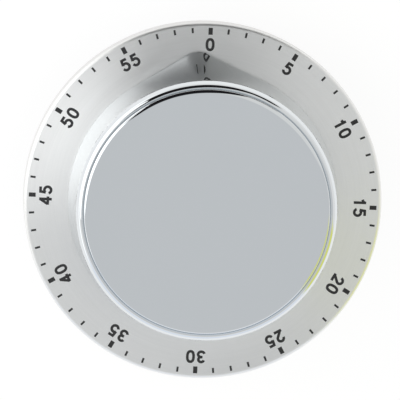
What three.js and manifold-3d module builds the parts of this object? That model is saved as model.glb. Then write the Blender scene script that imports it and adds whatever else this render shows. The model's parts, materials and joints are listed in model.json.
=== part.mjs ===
// Round wind-up kitchen timer: a fixed dial ring with a turning knob, a clockwork movement and a bell.
// Millimetres. It lies on its back: +Z points out of the dial and the 0 mark is towards +Y.

import * as THREE from 'three';
import { mergeVertices } from 'three/addons/utils/BufferGeometryUtils.js';
import Module from 'manifold-3d';

const wasm = await Module();
wasm.setup();

// ---- driving dimensions ----

const GAP = 0.3; // between neighbours that are fixed to each other
const ROUND = 64; // segments of the large visible circles
const CASE_ROUND = 40; // segments of the large circles at the back
const SMALL_ROUND = 12; // segments of arbors, holes and screws
const JOIN = 0.5; // how far a boss runs into the wall it grows from
const CUT = 1; // how far a cut runs past the faces it opens

// dial ring
const RING_R = 40;
const RING_HOLE_R = 27.5;
const RING_TOP = 22;
const RING_FALL = 0.15; // the face falls by this towards its edge
const RING_SHEET = 0.8;
const RING_EDGE_BOTTOM = 16.8;
const RING_HEM_BOTTOM = 20.4;

// knob
const SKIRT_FOOT = 22.4;
const SKIRT_FOOT_R = 30.15;
const NECK = 37.2;
const NECK_R = 28.6;
const PROW_R = 33.5; // the pointer's tip, at the skirt's foot
const PROW_AT_NECK = 0.05; // the pointer fades to this under the lip
const PROW_TIP_ROUND = 6;
const PROW_STEPS = [ROUND - 8, 6]; // along the circle and round the tip
const SKIRT_SHARES = [0, 0.2, 0.45, 0.7, 1]; // of the skirt's height, where it is drawn
const PROW_ANGLE = 4.6; // degrees anticlockwise from the 0 mark, at the off stop
const SKIRT_WALL = 1.2;
const LIP_R = 28.9;
const LIP_WIDEST = 38.2;
const LIP_UNDERCUT = 0.5; // the lip rolls in below its widest circle by this
const SHOULDER_RISE = 2.4; // the rounded shoulder stands over the lip's widest circle by this
const LEDGE_R = 24;
const LEDGE_TOP = 39.3;
const LEDGE_BOTTOM = 38.2;
const RIM_R = 27.45; // the shoulder's flat rim reaches from here to the cap's seat
const CAP_SEAT_R = 27.3;
const CAP_R = 27.05;
const CAP_FLAT_R = 26;
const CAP_TOP = 40.9;
const CAP_EDGE_TILT = THREE.MathUtils.degToRad(17); // the face falls away by this at its edge
const CAP_BOTTOM = 39.6;
const CAP_SHEET = 0.7;
const HUB_R = 26.2;
const HUB_DISC = [36.4, 37.9];
const HUB_BOSS_R = 5.2;
const HUB_BOSS = [33.2, 39.9];
const HUB_BORE_TOP = 39.2;
const HUB_WINDOW_CIRCLE = 16;
const HUB_WINDOW_R = 5;
const HUB_FIT = 0.15; // between the hub's bore and the arbor

// housing
const HOUSING_R = 38.3;
const HOUSING_FOOT_R = 36.8;
const HOUSING_TOP = 18.4;
const HOUSING_BOTTOM = 0.9;
const HOUSING_FLOOR = 2.9;
const HOUSING_WALL = 1.8;
const HOUSING_CORNER = 2.5;
const REST_RING_R = [31.2, 33.4];
const REST_RING_TOP = 1.7;
const REST_GROOVE = 2;
const REST_BEVEL = 0.3;
const MAGNET_X = 22.5;
const MAGNET_R = 6.5;
const MAGNET_ROUND = 24; // segments
const MAGNET_BEVEL = 0.3;
const MAGNET_Z = [0.2, 3.2];
const MAGNET_WALL = 1.2;
const BELL_BOSS_R = 4;
const BELL_BOSS_TOP = 4.1;
const BELL_PILOT_R = 1.5;
const BELL_PILOT_BOTTOM = 1.7;
const SEAT_PLAY = 0.2; // round the magnets and the rest ring

// dial carrier
const FLANGE_R = 38.9;
const FLANGE_Z = [18.8, 20];
const RING_SEAT_R = 36.4;
const RING_SEAT_TOP = 20.9;
const DRUM_R = 24.2;
const DRUM_WALL = 1.4;
const DRUM_TOP = 32.6;
const DRUM_ROOF = 1.4;
const DRUM_HOLE_R = 3.2;
const DRUM_BEVEL = 0.8;

// case screws
const CASE_SCREW_CIRCLE = 27.5;
const CASE_SCREW_ANGLES = [90, 210, 330];
const TOWER_R = 3.4;
const TOWER_TOP = 12;
const TOWER_BORE_R = 2.7;
const TOWER_ROOF = 9;
const TOWER_HOLE_R = 1.3;
const CARRIER_BOSS_R = 2.8;
const CARRIER_BOSS_BOTTOM = 12.3;
const CARRIER_PILOT_TOP = 18;
const CARRIER_PILOT_R = 1.1;
const SCREW_TOP_SHARE = 0.75; // the head's flat top, of its radius
const RECESS = { long: 0.55, slim: 0.14, floor: 0.45 }; // of the head's radius and height
const CASE_SCREW = { headR: 2.3, headHeight: 1.3, shankR: 0.9, length: 8.4 };

// movement plates
const PLATE_R = 21.6;
const REAR_PLATE = [13, 14.2];
const FRONT_PLATE = [29, 30.2];
const PILLAR_CIRCLE = 19.4;
const PILLAR_ANGLES = [270, 30, 150];
const PILLAR_R = 1.6;
const PILLAR_TENON_R = 1;
const PILLAR_PLAY = 0.15; // round a tenon in its plate
const MOVEMENT_SCREW_CIRCLE = 17;
const MOVEMENT_SCREW_ANGLES = [60, 190, 320];
const MOVEMENT_SCREW = { headR: 2.1, headHeight: 1, shankR: 0.9, length: 3.7 };
const MOVEMENT_SCREW_HOLE_R = [1.1, 1.2]; // in the front plate and in the drum's roof
const MOVEMENT_SCREW_GAP = 0.2; // from the drum's roof to the head
const PIVOT_SINK = 0.1; // arbor ends stop short of the plates' outer faces
const PIVOT_PLAY = 0.1;
const END_SHAKE = 0.2; // between an arbor's shoulder and the plate

// gear train
const PRESSURE_ANGLE = THREE.MathUtils.degToRad(28);
const ADDENDUM = 0.8; // of the module
const DEDENDUM = 1.05; // of the module
const BACKLASH = 0.08;
const GREAT = { teeth: 48, module: 0.4375, z: [20.4, 21.4] };
const SECOND_PINION = { teeth: 8, module: 0.4375, z: [19.9, 21.9] };
const SECOND = { teeth: 40, module: 0.375, z: [23, 23.9] };
const THIRD_PINION = { teeth: 8, module: 0.375, z: [22.5, 24.4] };
const THIRD = { teeth: 40, module: 0.375, z: [25.2, 26] };
const ESCAPE_PINION = { teeth: 8, module: 0.375, z: [24.8, 26.4] };
const TRAIN_START = 200; // degrees, the direction of the second arbor from the main one
const ARBOR_R = 0.8;
const PIVOT_R = 0.45;
const WHEEL_BORE_R = 1;
const GREAT_WINDOWS = { radius: 1.9, circle: 6.4, count: 6 };
const SMALL_WINDOWS = { radius: 1.5, circle: 4.4, count: 5 };

// main arbor
const MAIN_R = 2.5;
const MAIN_PIVOT_R = 1.4;
const MAIN_NECK_R = 2.4;
const MAIN_TOP = 38.8;
const MAIN_FLAT = 1.7; // from the axis to the flat that the hub grips
const MAIN_FLAT_BOTTOM = 32.8;
const MAIN_BORE_R = 2.75;
const MAIN_BEVEL = 0.3;
const COLLAR = { r: 4.6, z: [19.6, 20.2] };
const CAM = { r: 3.9, z: [22.6, 23.8], notchDepth: 0.95, notchWidth: 2 };
const CAM_PLAY = 0.12;
const WASHER = { r: 5, bottom: 21.6, dish: 0.4, sheet: 0.3 };

// escapement
const ESCAPE = { teeth: 15, tipR: 6, rootR: 4.4, z: [27.2, 27.9], tipShare: 0.03, rootShare: 0.2 };
const PALLET_PIN_R = 0.35;
const PALLET_SPAN = THREE.MathUtils.degToRad(60); // two and a half teeth
const PALLET_CLEARANCE = 0.06;
const VERGE_BOSS_R = 1.5;
const PALLET_ARM_HALF = 0.6;
const VERGE_CIRCLE = 14;
const VERGE_Z = [28.2, 28.75];
const VERGE_WEIGHT_Z = [16, 17.2];
const VERGE_WEIGHT = { reach: 5, beamHalf: 0.7, endR: 1.3, bossR: 1.6 };

// bell and hammer
const BELL_R = 15.5;
const BELL_SHEET = 0.8;
const BELL_Z = [4.4, 11.4];
const BELL_FLAT_R = 5;
const BELL_HOLE_R = 1.7;
const BELL_SCREW = { headR: 3, headHeight: 1.3, shankR: 1.3, length: 3.4 };
const HAMMER_PIVOT_Y = 18;
const HAMMER_REACH = 12;
const HAMMER_HEAD_R = 1.8;
const HAMMER_HEAD_TOP = 12.4;
const HAMMER_HEAD_BEVEL = 0.4;
const RIVET_R = 0.45;
const HAMMER_ARBOR_R = 1;
const HAMMER_PIVOT_R = 0.6;
const HAMMER_EYE_R = 2;
const HAMMER_PLAY = 0.12;
const HAMMER_ARM_HALF = 0.8;
const HAMMER_GAP = 1; // from the head to the bell
const HAMMER_ARM_Z = [9.5, 10.2];
const HAMMER_ARBOR_END = 0.4; // the arbor and the rivet show below the arm by these
const RIVET_END = 0.1;
const TRIP_LEVER_Z = [22.8, 23.6];
const TRIP_LEVER_END_Y = 5.2;
const TRIP_LEVER_HALF = 0.7;
const HAMMER_SPRING = { r: 1.75, turns: 3, low: 15.6, pitch: 0.7, tail: 5, wireR: 0.25 };

// mainspring
const SPRING_Z = [14.9, 19.3];
const SPRING_R = [2.95, 10.3];
const SPRING_TURNS = 5;
const SPRING_STRIP = 0.3;

// ---- geometry helpers ----

const degrees = THREE.MathUtils.degToRad;
const { lerp } = THREE.MathUtils;

/** A point at this distance and direction from a centre. */
function polar(radius, angle, centre = [0, 0]) {
  return [centre[0] + radius * Math.cos(angle), centre[1] + radius * Math.sin(angle)];
}

/** Points of an arc, both ends included. */
function arc(cx, cy, radius, from, to, steps) {
  const points = [];
  for (let i = 0; i <= steps; i += 1) {
    points.push(polar(radius, from + ((to - from) * i) / steps, [cx, cy]));
  }
  return points;
}

/** A circle's points, the first not repeated. */
function circle(radius, segments = SMALL_ROUND, centre = [0, 0]) {
  return arc(centre[0], centre[1], radius, 0, 2 * Math.PI, segments).slice(0, -1);
}

/** A solid of revolution about Z from its [radius, height] outline, listed anticlockwise. */
function turned(outline, segments = SMALL_ROUND) {
  const onAxis = outline[0][0] === 0;
  const closed = onAxis ? outline : [...outline, outline[0]];
  const points = closed.map(([r, z]) => new THREE.Vector2(r, z));
  return new THREE.LatheGeometry(points, segments).rotateX(Math.PI / 2);
}

/** A flat plate between two heights from an outline and its holes. */
function plate(outline, [bottom, top], holes = []) {
  const asVectors = (points) => points.map(([x, y]) => new THREE.Vector2(x, y));
  const shape = new THREE.Shape(asVectors(outline));
  shape.holes = holes.map((hole) => new THREE.Path(asVectors(hole)));
  const geometry = new THREE.ExtrudeGeometry(shape, { depth: top - bottom, bevelEnabled: false });
  return geometry.translate(0, 0, bottom);
}

/** A solid cylinder between two heights. */
function rod(radius, heights, centre = [0, 0], segments = SMALL_ROUND) {
  return plate(circle(radius, segments, centre), heights);
}

/** A flat bar with round ends between two points. */
function bar(from, to, halfWidth, heights, holes = []) {
  const along = Math.atan2(to[1] - from[1], to[0] - from[0]);
  const outline = [
    ...arc(from[0], from[1], halfWidth, along + Math.PI / 2, along + 1.5 * Math.PI, 5),
    ...arc(to[0], to[1], halfWidth, along - Math.PI / 2, along + Math.PI / 2, 5),
  ];
  return plate(outline, heights, holes);
}

/** Sections of equal length, each joined to the next and the last to the first. */
function loftedLoop(sections) {
  const count = sections[0].length;
  const positions = sections.flat(2);
  const index = [];
  sections.forEach((_, s) => {
    const here = s * count;
    const above = ((s + 1) % sections.length) * count;
    for (let i = 0; i < count; i += 1) {
      const next = (i + 1) % count;
      index.push(here + i, here + next, above + next);
      index.push(here + i, above + next, above + i);
    }
  });
  const geometry = new THREE.BufferGeometry();
  geometry.setAttribute('position', new THREE.Float32BufferAttribute(positions, 3));
  geometry.setIndex(index);
  geometry.computeVertexNormals();
  return geometry;
}

/** The same geometry for the join and cut library, with its seams welded. */
function toManifold(geometry) {
  const bare = geometry.clone();
  bare.deleteAttribute('normal');
  bare.deleteAttribute('uv');
  const welded = mergeVertices(bare, 1e-4);
  const corners = welded.index.array;
  const kept = [];
  for (let i = 0; i < corners.length; i += 3) {
    const [a, b, c] = corners.slice(i, i + 3);
    if (a !== b && b !== c && c !== a) {
      kept.push(a, b, c);
    }
  }
  const mesh = new wasm.Mesh({
    numProp: 3,
    vertProperties: new Float32Array(welded.attributes.position.array),
    triVerts: new Uint32Array(kept),
  });
  return new wasm.Manifold(mesh);
}

function fromManifold(manifold) {
  const mesh = manifold.getMesh();
  const geometry = new THREE.BufferGeometry();
  geometry.setAttribute('position', new THREE.BufferAttribute(mesh.vertProperties, 3));
  geometry.setIndex(new THREE.BufferAttribute(mesh.triVerts, 1));
  geometry.computeVertexNormals();
  return geometry;
}

/** Joins the first list of geometries and cuts the second from the result. */
function carved(added, removed = []) {
  let body = toManifold(added[0]);
  for (const geometry of added.slice(1)) {
    body = body.add(toManifold(geometry));
  }
  for (const geometry of removed) {
    body = body.subtract(toManifold(geometry));
  }
  return fromManifold(body);
}

// ---- materials ----

function metal(color, roughness) {
  return () => new THREE.MeshStandardMaterial({ color, roughness, metalness: 1 });
}

function matt(color, roughness) {
  return () => new THREE.MeshStandardMaterial({ color, roughness, metalness: 0 });
}

const polishedSteel = metal(0xbbbfc2, 0.05);
const brushedSteel = metal(0xc9c9c7, 0.35);
const brass = metal(0xc8a45c, 0.35);
const pivotSteel = metal(0xa8abad, 0.3);
const springSteel = metal(0x6d7580, 0.4);
const bellSteel = metal(0xb9bbbd, 0.2);
const magnet = metal(0x8d9093, 0.3);
const blackPlastic = matt(0x2b2c2e, 0.6);
const greyPlastic = matt(0x6f7275, 0.6);
const rubber = matt(0x1d1d1e, 0.9);

// ---- where the arbors stand ----

const gearDistance = (wheel, pinion) => ((wheel.teeth + pinion.teeth) * wheel.module) / 2;

/** The arbors of the train stand on one circle about the main arbor, each in mesh with the last. */
const TRAIN_CIRCLE = gearDistance(GREAT, SECOND_PINION);
const trainStep = (distance) => 2 * Math.asin(distance / 2 / TRAIN_CIRCLE);
const secondAngle = degrees(TRAIN_START);
const thirdAngle = secondAngle + trainStep(gearDistance(SECOND, THIRD_PINION));
const escapeAngle = thirdAngle + trainStep(gearDistance(THIRD, ESCAPE_PINION));
const SECOND_AT = polar(TRAIN_CIRCLE, secondAngle);
const THIRD_AT = polar(TRAIN_CIRCLE, thirdAngle);
const ESCAPE_AT = polar(TRAIN_CIRCLE, escapeAngle);

/** The pallet pins sit where a tangent from the verge arbor would touch their circle. */
const PIN_CIRCLE = ESCAPE.tipR + PALLET_PIN_R + PALLET_CLEARANCE;
const VERGE_DISTANCE = PIN_CIRCLE / Math.cos(PALLET_SPAN / 2);
const PIN_ARM = PIN_CIRCLE * Math.tan(PALLET_SPAN / 2);
const vergeTurn = Math.acos(
  (TRAIN_CIRCLE ** 2 + VERGE_CIRCLE ** 2 - VERGE_DISTANCE ** 2) / (2 * TRAIN_CIRCLE * VERGE_CIRCLE),
);
const VERGE_AT = polar(VERGE_CIRCLE, escapeAngle + vergeTurn);

const HAMMER_AT = [0, HAMMER_PIVOT_Y];
const HEAD_CIRCLE = BELL_R + HAMMER_GAP + HAMMER_HEAD_R;
const headTurn = Math.acos(
  (HAMMER_PIVOT_Y ** 2 + HEAD_CIRCLE ** 2 - HAMMER_REACH ** 2) / (2 * HAMMER_PIVOT_Y * HEAD_CIRCLE),
);
const HEAD_AT = polar(HEAD_CIRCLE, Math.PI / 2 + headTurn);

const directionOf = (from, to) => Math.atan2(to[1] - from[1], to[0] - from[0]);
const onCircle = (radius, angles) => angles.map((angle) => polar(radius, degrees(angle)));
const CASE_SCREWS_AT = onCircle(CASE_SCREW_CIRCLE, CASE_SCREW_ANGLES);
const PILLARS_AT = onCircle(PILLAR_CIRCLE, PILLAR_ANGLES);
const MOVEMENT_SCREWS_AT = onCircle(MOVEMENT_SCREW_CIRCLE, MOVEMENT_SCREW_ANGLES);

// ---- dial ring and knob ----

function dialRing() {
  const edgeTop = RING_TOP - RING_FALL;
  const inner = RING_R - RING_SHEET;
  return turned([
    [RING_HOLE_R, RING_HEM_BOTTOM],
    [RING_HOLE_R + RING_SHEET, RING_HEM_BOTTOM],
    [RING_HOLE_R + RING_SHEET, RING_TOP - RING_SHEET],
    [inner, edgeTop - RING_SHEET],
    [inner, RING_EDGE_BOTTOM],
    [RING_R, RING_EDGE_BOTTOM],
    ...arc(inner, edgeTop - RING_SHEET, RING_SHEET, 0, Math.PI / 2, 3),
    [RING_HOLE_R + RING_SHEET / 2, RING_TOP],
    [RING_HOLE_R, RING_TOP - RING_SHEET / 2],
  ], ROUND);
}

/** The skirt's section: a circle drawn out to a rounded tip, as [angle, radius] about the axis. */
function prowSection(circleR, tipR) {
  const half = Math.acos((circleR - PROW_TIP_ROUND) / (tipR - PROW_TIP_ROUND));
  const tipCentre = (circleR - PROW_TIP_ROUND) / Math.cos(half);
  const points = [
    ...arc(0, 0, circleR, half, 2 * Math.PI - half, PROW_STEPS[0]),
    ...arc(tipCentre, 0, PROW_TIP_ROUND, -half, half, PROW_STEPS[1]),
  ];
  return points.map(([x, y]) => [Math.atan2(y, x), Math.hypot(x, y)]);
}

/** The skirt's section at a share of its height. It flares towards its foot. */
function skirtSection(share) {
  const left = 1 - share;
  const flare = (left + left ** 2) / 2;
  const circleR = lerp(NECK_R, SKIRT_FOOT_R, flare);
  const tipR = lerp(NECK_R + PROW_AT_NECK, PROW_R, flare);
  return prowSection(circleR, tipR);
}

function knobBody() {
  const turn = Math.PI / 2 + degrees(PROW_ANGLE);
  const place = ([angle, r], z) => [...polar(r, angle + turn), z];
  const neck = skirtSection(1);
  const round = (radius, z) => neck.map(([angle]) => place([angle, radius], z));
  const shoulderWidth = LIP_R - RIM_R;
  const shoulder = arc(0, 0, 1, 0, Math.PI / 2, 5).map(([out, up]) => (
    [RIM_R + shoulderWidth * out, LIP_WIDEST + SHOULDER_RISE * up]
  ));
  return loftedLoop([
    ...SKIRT_SHARES.map((share) => (
      skirtSection(share).map((point) => place(point, lerp(SKIRT_FOOT, NECK, share)))
    )),
    round(LIP_R - LIP_UNDERCUT / 3, LIP_WIDEST - LIP_UNDERCUT),
    ...shoulder.map(([r, z]) => round(r, z)),
    round(CAP_SEAT_R, LIP_WIDEST + SHOULDER_RISE),
    round(CAP_SEAT_R, LEDGE_TOP),
    round(LEDGE_R, LEDGE_TOP),
    round(LEDGE_R, LEDGE_BOTTOM),
    round(NECK_R - SKIRT_WALL, LEDGE_BOTTOM),
    round(SKIRT_FOOT_R - SKIRT_WALL, SKIRT_FOOT),
  ]);
}

function knobCap() {
  const inside = CAP_R - CAP_SHEET;
  const edgeRound = (CAP_R - CAP_FLAT_R) / Math.sin(CAP_EDGE_TILT);
  const start = Math.PI / 2 - CAP_EDGE_TILT;
  return turned([
    [0, CAP_TOP - CAP_SHEET],
    [inside, CAP_TOP - CAP_SHEET],
    [inside, CAP_BOTTOM],
    [CAP_R, CAP_BOTTOM],
    ...arc(CAP_FLAT_R, CAP_TOP - edgeRound, edgeRound, start, Math.PI / 2, 3),
    [0, CAP_TOP],
  ], ROUND);
}

/** A circle with one side flattened, as on the arbor's end and in the hub. */
function flattedCircle(radius, flat) {
  const half = Math.acos(flat / radius);
  return arc(0, 0, radius, half, 2 * Math.PI - half, SMALL_ROUND);
}

function knobHub() {
  const body = turned([
    [0, HUB_BOSS[0]],
    [HUB_BOSS_R, HUB_BOSS[0]],
    [HUB_BOSS_R, HUB_DISC[0]],
    [HUB_R, HUB_DISC[0]],
    [HUB_R, HUB_DISC[1]],
    [HUB_BOSS_R, HUB_DISC[1]],
    [HUB_BOSS_R, HUB_BOSS[1]],
    [0, HUB_BOSS[1]],
  ], CASE_ROUND);
  const boreOutline = flattedCircle(MAIN_NECK_R + HUB_FIT, MAIN_FLAT + HUB_FIT);
  const bore = plate(boreOutline, [HUB_BOSS[0] - CUT, HUB_BORE_TOP]);
  const windows = onCircle(HUB_WINDOW_CIRCLE, [45, 135, 225, 315]).map((at) => (
    rod(HUB_WINDOW_R, [HUB_DISC[0] - CUT, HUB_DISC[1] + CUT], at)
  ));
  return carved([body], [bore, ...windows]);
}

// ---- housing and dial carrier ----

function housing() {
  const corner = HOUSING_CORNER;
  const shell = turned([
    [0, HOUSING_BOTTOM],
    ...arc(HOUSING_FOOT_R - corner, HOUSING_BOTTOM + corner, corner, -Math.PI / 2, 0, 3),
    [HOUSING_R, RING_EDGE_BOTTOM - 1],
    [HOUSING_R, HOUSING_TOP],
    [HOUSING_R - HOUSING_WALL, HOUSING_TOP],
    [HOUSING_FOOT_R - HOUSING_WALL, HOUSING_FLOOR + 1],
    [HOUSING_FOOT_R - HOUSING_WALL - 1, HOUSING_FLOOR],
    [0, HOUSING_FLOOR],
  ], CASE_ROUND);
  const towers = CASE_SCREWS_AT.map((at) => rod(TOWER_R, [HOUSING_FLOOR - JOIN, TOWER_TOP], at));
  const bores = CASE_SCREWS_AT.map((at) => rod(TOWER_BORE_R, [0, TOWER_ROOF], at));
  const throughs = CASE_SCREWS_AT.map((at) => (
    rod(TOWER_HOLE_R, [TOWER_ROOF - CUT, TOWER_TOP + CUT], at)
  ));
  const magnetsAt = [[-MAGNET_X, 0], [MAGNET_X, 0]];
  const pocketTop = MAGNET_Z[1] + GAP;
  const pocketWalls = magnetsAt.map((at) => (
    rod(MAGNET_R + MAGNET_WALL, [HOUSING_FLOOR - JOIN, pocketTop + MAGNET_WALL], at, MAGNET_ROUND)
  ));
  const pockets = magnetsAt.map((at) => rod(MAGNET_R + SEAT_PLAY, [0, pocketTop], at, MAGNET_ROUND));
  const groove = turned([
    [REST_RING_R[0] - SEAT_PLAY, 0],
    [REST_RING_R[1] + SEAT_PLAY, 0],
    [REST_RING_R[1] + SEAT_PLAY, REST_GROOVE],
    [REST_RING_R[0] - SEAT_PLAY, REST_GROOVE],
  ], CASE_ROUND);
  const bellBoss = rod(BELL_BOSS_R, [HOUSING_FLOOR - JOIN, BELL_BOSS_TOP]);
  const bellPilot = rod(BELL_PILOT_R, [BELL_PILOT_BOTTOM, BELL_BOSS_TOP + CUT]);
  return carved(
    [shell, ...towers, ...pocketWalls, bellBoss],
    [...bores, ...throughs, ...pockets, groove, bellPilot],
  );
}

function restRing() {
  return turned([
    [REST_RING_R[0] + REST_BEVEL, 0],
    [REST_RING_R[1] - REST_BEVEL, 0],
    [REST_RING_R[1], REST_BEVEL],
    [REST_RING_R[1], REST_RING_TOP],
    [REST_RING_R[0], REST_RING_TOP],
    [REST_RING_R[0], REST_BEVEL],
  ], CASE_ROUND);
}

/** A flat disc magnet with a small bevel on its outer face. */
function discMagnet() {
  const [bottom, top] = MAGNET_Z;
  return turned([
    [0, bottom],
    [MAGNET_R - MAGNET_BEVEL, bottom],
    [MAGNET_R, bottom + MAGNET_BEVEL],
    [MAGNET_R, top],
    [0, top],
  ], MAGNET_ROUND);
}

function dialCarrier() {
  const drumInside = DRUM_R - DRUM_WALL;
  const frame = turned([
    [DRUM_HOLE_R, DRUM_TOP - DRUM_ROOF],
    [drumInside, DRUM_TOP - DRUM_ROOF],
    [drumInside, FLANGE_Z[0]],
    [FLANGE_R, FLANGE_Z[0]],
    [FLANGE_R, RING_SEAT_TOP],
    [RING_SEAT_R, RING_SEAT_TOP],
    [RING_SEAT_R, FLANGE_Z[1]],
    [DRUM_R, FLANGE_Z[1]],
    [DRUM_R, DRUM_TOP - DRUM_BEVEL],
    [DRUM_R - DRUM_BEVEL, DRUM_TOP],
    [DRUM_HOLE_R, DRUM_TOP],
  ], CASE_ROUND);
  const bosses = CASE_SCREWS_AT.map((at) => (
    rod(CARRIER_BOSS_R, [CARRIER_BOSS_BOTTOM, FLANGE_Z[1] - JOIN], at)
  ));
  const pilots = CASE_SCREWS_AT.map((at) => (
    rod(CARRIER_PILOT_R, [CARRIER_BOSS_BOTTOM - CUT, CARRIER_PILOT_TOP], at)
  ));
  const roof = [DRUM_TOP - DRUM_ROOF - CUT, DRUM_TOP + CUT];
  const screwHoles = MOVEMENT_SCREWS_AT.map((at) => rod(MOVEMENT_SCREW_HOLE_R[1], roof, at));
  return carved([frame, ...bosses], [...pilots, ...screwHoles]);
}

/** A pan-head screw with a cross recess, standing on its head's underside at height 0, head up. */
function screw({ headR, headHeight, shankR, length }) {
  const body = turned([
    [0, -length],
    [shankR / 2, -length],
    [shankR, -length + shankR],
    [shankR, 0],
    [headR, 0],
    [headR, headHeight / 2],
    [headR * SCREW_TOP_SHARE, headHeight],
    [0, headHeight],
  ]);
  const long = headR * RECESS.long;
  const slim = headR * RECESS.slim;
  const recess = [headHeight * RECESS.floor, headHeight + CUT];
  const across = plate([[-long, -slim], [long, -slim], [long, slim], [-long, slim]], recess);
  const along = plate([[-slim, -long], [slim, -long], [slim, long], [-slim, long]], recess);
  return carved([body], [across, along]);
}

// ---- movement ----

/** A plate of the movement, bored for arbors of these radii. */
function movementPlate(heights, mainR, hammerR, screws) {
  const holes = [
    circle(mainR + PIVOT_PLAY),
    ...[SECOND_AT, THIRD_AT, ESCAPE_AT, VERGE_AT].map((at) => circle(PIVOT_R + PIVOT_PLAY, 10, at)),
    circle(hammerR + HAMMER_PLAY, SMALL_ROUND, HAMMER_AT),
    ...PILLARS_AT.map((at) => circle(PILLAR_TENON_R + PILLAR_PLAY, 10, at)),
    ...screws.map((at) => circle(MOVEMENT_SCREW_HOLE_R[0], 8, at)),
  ];
  return plate(circle(PLATE_R, CASE_ROUND), heights, holes);
}

/** A turned pillar whose tenons pass through both plates. */
function pillar() {
  const bottom = REAR_PLATE[0];
  const top = FRONT_PLATE[1];
  const shoulders = [REAR_PLATE[1] + GAP / 2, FRONT_PLATE[0] - GAP / 2];
  return turned([
    [0, bottom],
    [PILLAR_TENON_R, bottom],
    [PILLAR_TENON_R, shoulders[0]],
    [PILLAR_R, shoulders[0]],
    [PILLAR_R, shoulders[1]],
    [PILLAR_TENON_R, shoulders[1]],
    [PILLAR_TENON_R, top],
    [0, top],
  ], 10);
}

function mainArbor() {
  const shaft = turned([
    [0, REAR_PLATE[0] + PIVOT_SINK],
    [MAIN_PIVOT_R, REAR_PLATE[0] + PIVOT_SINK],
    [MAIN_PIVOT_R, REAR_PLATE[1] + GAP],
    [MAIN_R, REAR_PLATE[1] + GAP],
    [MAIN_R, FRONT_PLATE[0] - GAP],
    [MAIN_NECK_R, FRONT_PLATE[0] - GAP],
    [MAIN_NECK_R, MAIN_TOP - MAIN_BEVEL],
    [MAIN_NECK_R - MAIN_BEVEL, MAIN_TOP],
    [0, MAIN_TOP],
  ], 24);
  const far = MAIN_NECK_R + CUT;
  const beyondFlat = [[MAIN_FLAT, -far], [far, -far], [far, far], [MAIN_FLAT, far]];
  return carved([shaft], [plate(beyondFlat, [MAIN_FLAT_BOTTOM, MAIN_TOP + CUT])]);
}

const involute = (angle) => Math.tan(angle) - angle;

/** An involute gear's outline, with the middle of a tooth in the stated direction. */
function gearOutline({ teeth, module }, direction) {
  const pitchR = (teeth * module) / 2;
  const baseR = pitchR * Math.cos(PRESSURE_ANGLE);
  const tipR = pitchR + ADDENDUM * module;
  const rootR = pitchR - DEDENDUM * module;
  const halfAtPitch = Math.PI / 2 / teeth - BACKLASH / 4 / pitchR;
  const halfTooth = (r) => {
    const rolled = r > baseR ? involute(Math.acos(baseR / r)) : 0;
    return halfAtPitch + involute(PRESSURE_ANGLE) - rolled;
  };
  const flank = [rootR, tipR].map((r) => [r, halfTooth(r)]);
  const points = [];
  for (let tooth = 0; tooth < teeth; tooth += 1) {
    const middle = direction + (2 * Math.PI * tooth) / teeth;
    points.push(...flank.map(([r, half]) => polar(r, middle - half)));
    points.push(...flank.toReversed().map(([r, half]) => polar(r, middle + half)));
  }
  return points;
}

/** A toothed wheel about its own axis, with round windows. */
function wheel(gear, direction, bore, windows) {
  const holes = [circle(bore, 16)];
  for (let i = 0; i < windows.count; i += 1) {
    const at = polar(windows.circle, (2 * Math.PI * i) / windows.count);
    holes.push(circle(windows.radius, 10, at));
  }
  return plate(gearOutline(gear, direction), gear.z, holes);
}

function smallWheel(gear, at, driven) {
  return wheel(gear, directionOf(at, driven), WHEEL_BORE_R, SMALL_WINDOWS);
}

/** A thin steel arbor with a pivot at each end. */
function arbor() {
  const shoulders = [REAR_PLATE[1] + END_SHAKE, FRONT_PLATE[0] - END_SHAKE];
  return turned([
    [0, REAR_PLATE[0] + PIVOT_SINK],
    [PIVOT_R, REAR_PLATE[0] + PIVOT_SINK],
    [PIVOT_R, shoulders[0]],
    [ARBOR_R, shoulders[0]],
    [ARBOR_R, shoulders[1]],
    [PIVOT_R, shoulders[1]],
    [PIVOT_R, FRONT_PLATE[1] - PIVOT_SINK],
    [0, FRONT_PLATE[1] - PIVOT_SINK],
  ]);
}

/** An arbor cut with pinion leaves, a gap between two leaves facing the wheel that drives it. */
function pinion(gear, towardsDriver) {
  const direction = towardsDriver + Math.PI / gear.teeth;
  return carved([arbor(), plate(gearOutline(gear, direction), gear.z)]);
}

function escapeWheel(gapDirection) {
  const tooth = (2 * Math.PI) / ESCAPE.teeth;
  const points = [];
  for (let i = 0; i < ESCAPE.teeth; i += 1) {
    const middle = gapDirection + tooth * (i + 0.25);
    const rootHalf = ESCAPE.rootShare * tooth;
    const tipHalf = ESCAPE.tipShare * tooth;
    points.push(polar(ESCAPE.rootR, middle - rootHalf));
    points.push(polar(ESCAPE.tipR, middle - tipHalf));
    points.push(polar(ESCAPE.tipR, middle + tipHalf));
    points.push(polar(ESCAPE.rootR, middle + rootHalf));
  }
  return plate(points, ESCAPE.z, [circle(WHEEL_BORE_R, 16)]);
}

/** The anchor that rocks over the escape wheel, with its two pallet pins. */
function vergeLever() {
  const towardsWheel = directionOf(VERGE_AT, ESCAPE_AT);
  const spread = Math.PI / 2 - PALLET_SPAN / 2;
  const pins = [towardsWheel - spread, towardsWheel + spread].map((angle) => polar(PIN_ARM, angle));
  const arms = pins.map((at) => bar([0, 0], at, PALLET_ARM_HALF, VERGE_Z));
  const boss = rod(VERGE_BOSS_R, VERGE_Z);
  const pegs = pins.map((at) => rod(PALLET_PIN_R, [ESCAPE.z[0] - PIVOT_SINK, VERGE_Z[1]], at));
  const bore = rod(ARBOR_R + PIVOT_PLAY, [VERGE_Z[0] - CUT, VERGE_Z[1] + CUT]);
  return carved([boss, ...arms, ...pegs], [bore]);
}

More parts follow.
